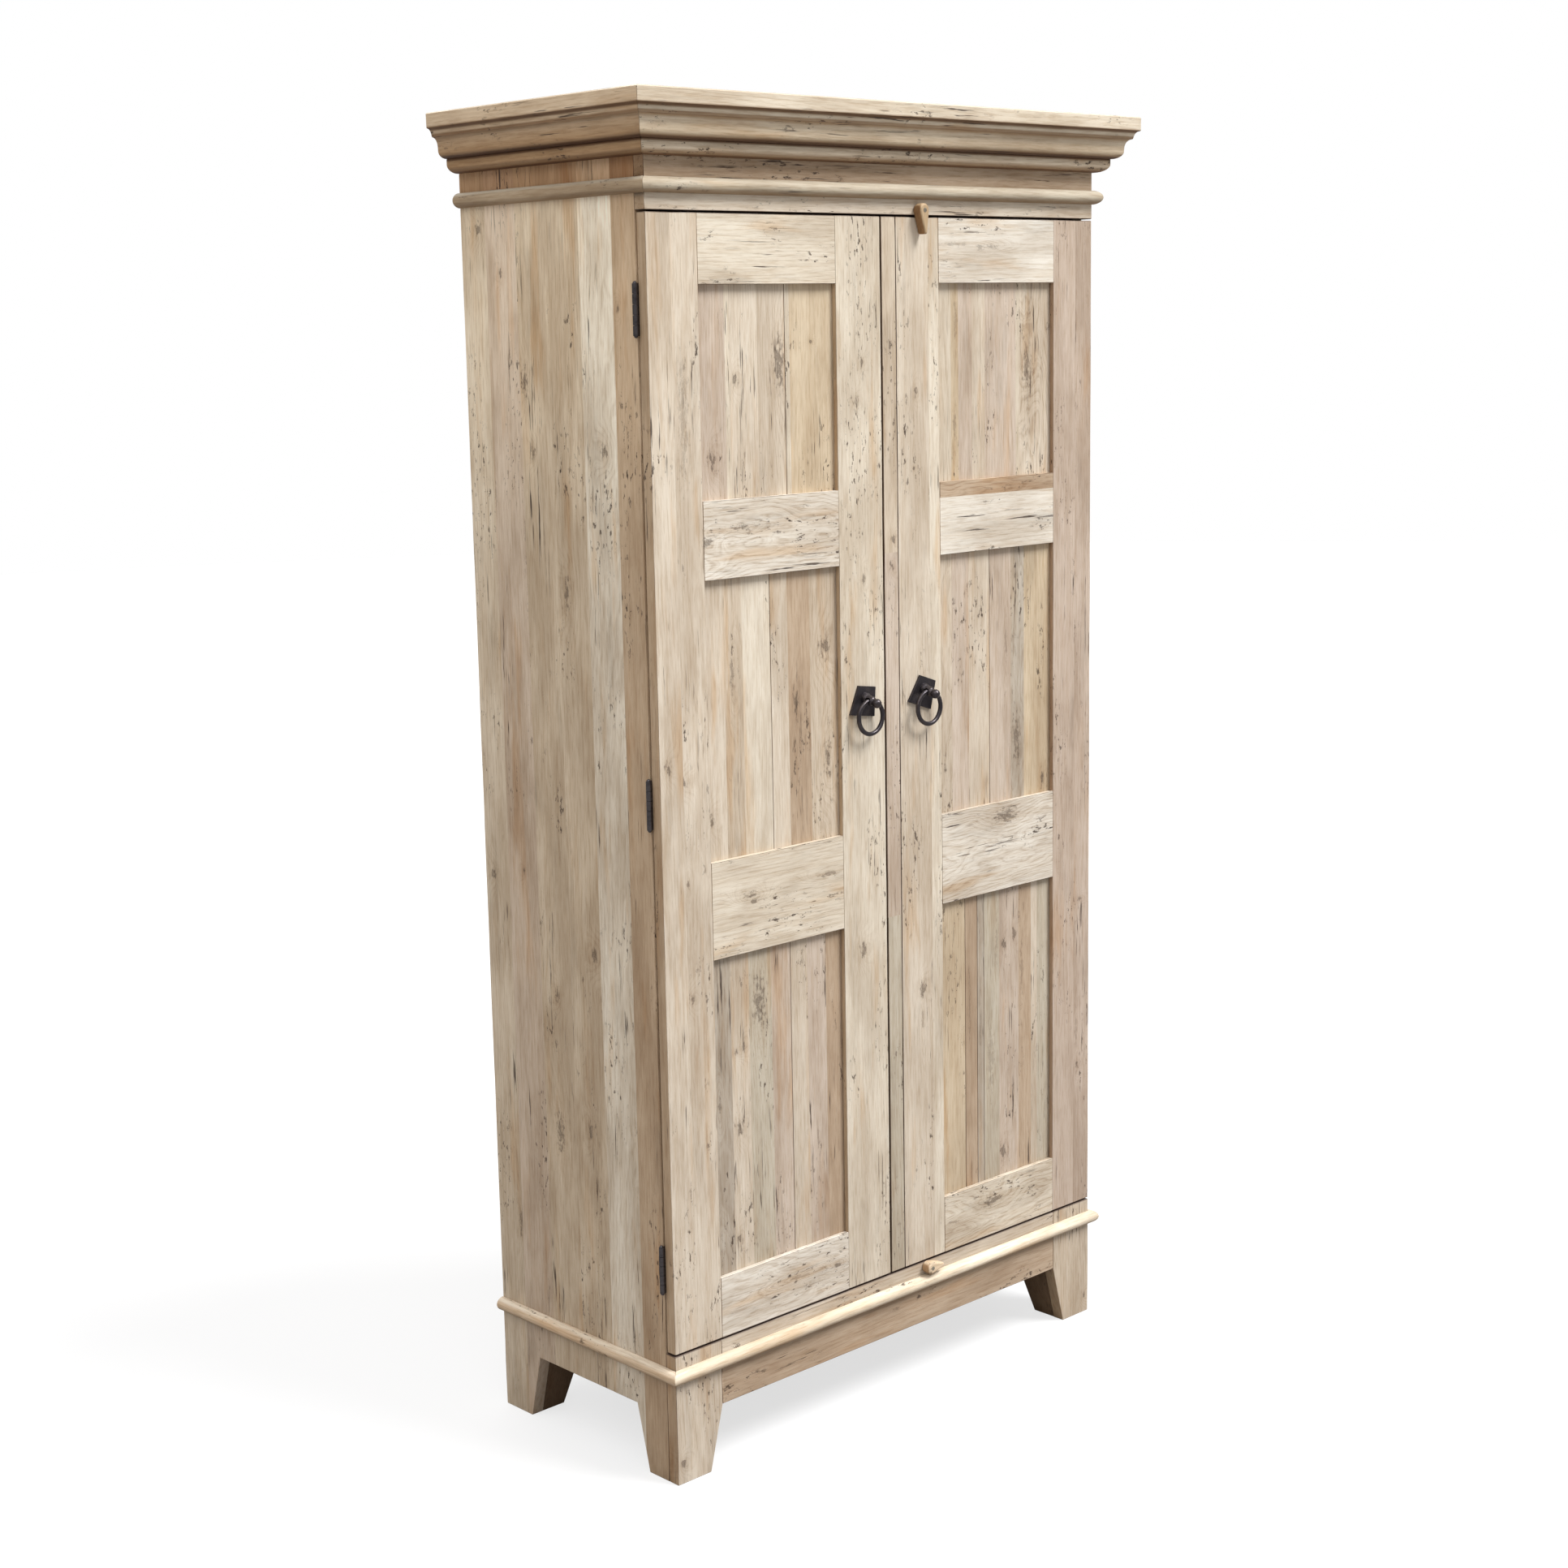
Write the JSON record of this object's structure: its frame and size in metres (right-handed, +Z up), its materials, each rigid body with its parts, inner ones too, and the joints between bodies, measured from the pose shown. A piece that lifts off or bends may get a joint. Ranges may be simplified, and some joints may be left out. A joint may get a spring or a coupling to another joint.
{
  "type": "armoire",
  "caption": "Tall pale oak armoire with framed panel doors, stepped cornice, half-round beads, iron ring pulls, wooden turn buttons and cut-out board feet.",
  "frame": {"origin": "middle of the base of the bounding box, on the floor", "axes": "+Z up, +X towards the right door as seen from the front, -Y out of the front of the doors"},
  "size_m": [1.056, 0.469, 2],
  "materials": {
    "front_oak": "pale bleached oak, dry waxed, soft worn edges, knots and fine dark cracks",
    "side_oak": "glued oak boards of mixed tints, dry waxed, darker than the front",
    "moulding_oak": "pale oak run along the grain, worn at the arrises",
    "inner_oak": "plain unfinished oak",
    "iron": "hand-forged, black-brown, dull waxed",
    "steel": "dark aged steel"
  },
  "bodies": {
    "carcass": {"left_side_panel": "side_oak", "left_front_leg": "front_oak", "right_side_panel": "side_oak", "right_front_leg": "front_oak", "back_panel": "inner_oak", "bottom_board": "inner_oak", "lower_shelf": "inner_oak", "upper_shelf": "inner_oak", "top_board": "side_oak", "front_apron": "front_oak", "frieze_rail": "front_oak", "cornice_front": "moulding_oak", "cornice_left": "moulding_oak", "cornice_right": "moulding_oak", "bed_mould_front": "moulding_oak", "bed_mould_left": "moulding_oak", "bed_mould_right": "moulding_oak", "upper_bead_front": "moulding_oak", "upper_bead_left": "moulding_oak", "upper_bead_right": "moulding_oak", "lower_bead_front": "moulding_oak", "lower_bead_left": "moulding_oak", "lower_bead_right": "moulding_oak", "left_bottom_hinge_frame_leaf": "steel", "left_middle_hinge_frame_leaf": "steel", "left_top_hinge_frame_leaf": "steel", "right_bottom_hinge_frame_leaf": "steel", "right_middle_hinge_frame_leaf": "steel", "right_top_hinge_frame_leaf": "steel"},
    "left_door": {"left_door_outer_stile": "front_oak", "left_door_inner_stile": "front_oak", "left_door_top_rail": "front_oak", "left_door_upper_mid_rail": "front_oak", "left_door_lower_mid_rail": "front_oak", "left_door_bottom_rail": "front_oak", "left_door_top_panel": "front_oak", "left_door_middle_panel": "front_oak", "left_door_bottom_panel": "front_oak", "left_bottom_hinge_door_leaf": "steel", "left_middle_hinge_door_leaf": "steel", "left_top_hinge_door_leaf": "steel", "left_handle_plate": "iron"},
    "right_door": {"right_door_outer_stile": "front_oak", "right_door_inner_stile": "front_oak", "right_door_top_rail": "front_oak", "right_door_upper_mid_rail": "front_oak", "right_door_lower_mid_rail": "front_oak", "right_door_bottom_rail": "front_oak", "right_door_top_panel": "front_oak", "right_door_middle_panel": "front_oak", "right_door_bottom_panel": "front_oak", "right_bottom_hinge_door_leaf": "steel", "right_middle_hinge_door_leaf": "steel", "right_top_hinge_door_leaf": "steel", "right_handle_plate": "iron", "centre_strip": "front_oak"},
    "left_ring": {"left_ring": "iron"},
    "right_ring": {"right_ring": "iron"},
    "top_button": {"top_turn_button": "moulding_oak"},
    "bottom_button": {"bottom_turn_button": "moulding_oak"}
  },
  "joints": [
    {"name": "left_door_hinge", "type": "hinge", "parent": "carcass", "child": "left_door", "pos_m": [-0.4773, -0.16025, 1.021], "axis": [0, 0, -1], "range_deg": [0, 180]},
    {"name": "right_door_hinge", "type": "hinge", "parent": "carcass", "child": "right_door", "pos_m": [0.4773, -0.16025, 1.021], "axis": [0, 0, 1], "range_deg": [0, 180]},
    {"name": "left_ring_swing", "type": "hinge", "parent": "left_door", "child": "left_ring", "pos_m": [-0.062, -0.19413, 1.12815], "axis": [-1, 0, 0], "range_deg": [-10, 150]},
    {"name": "right_ring_swing", "type": "hinge", "parent": "right_door", "child": "right_ring", "pos_m": [0.067, -0.19413, 1.12815], "axis": [-1, 0, 0], "range_deg": [-10, 150]},
    {"name": "top_button_turn", "type": "hinge", "parent": "carcass", "child": "top_button", "pos_m": [0.0645, -0.1879, 1.8505], "axis": [0, -1, 0], "range_deg": [-90, 85]},
    {"name": "bottom_button_turn", "type": "hinge", "parent": "carcass", "child": "bottom_button", "pos_m": [0.0645, -0.1879, 0.1935], "axis": [0, -1, 0], "range_deg": [0, 180]}
  ]
}
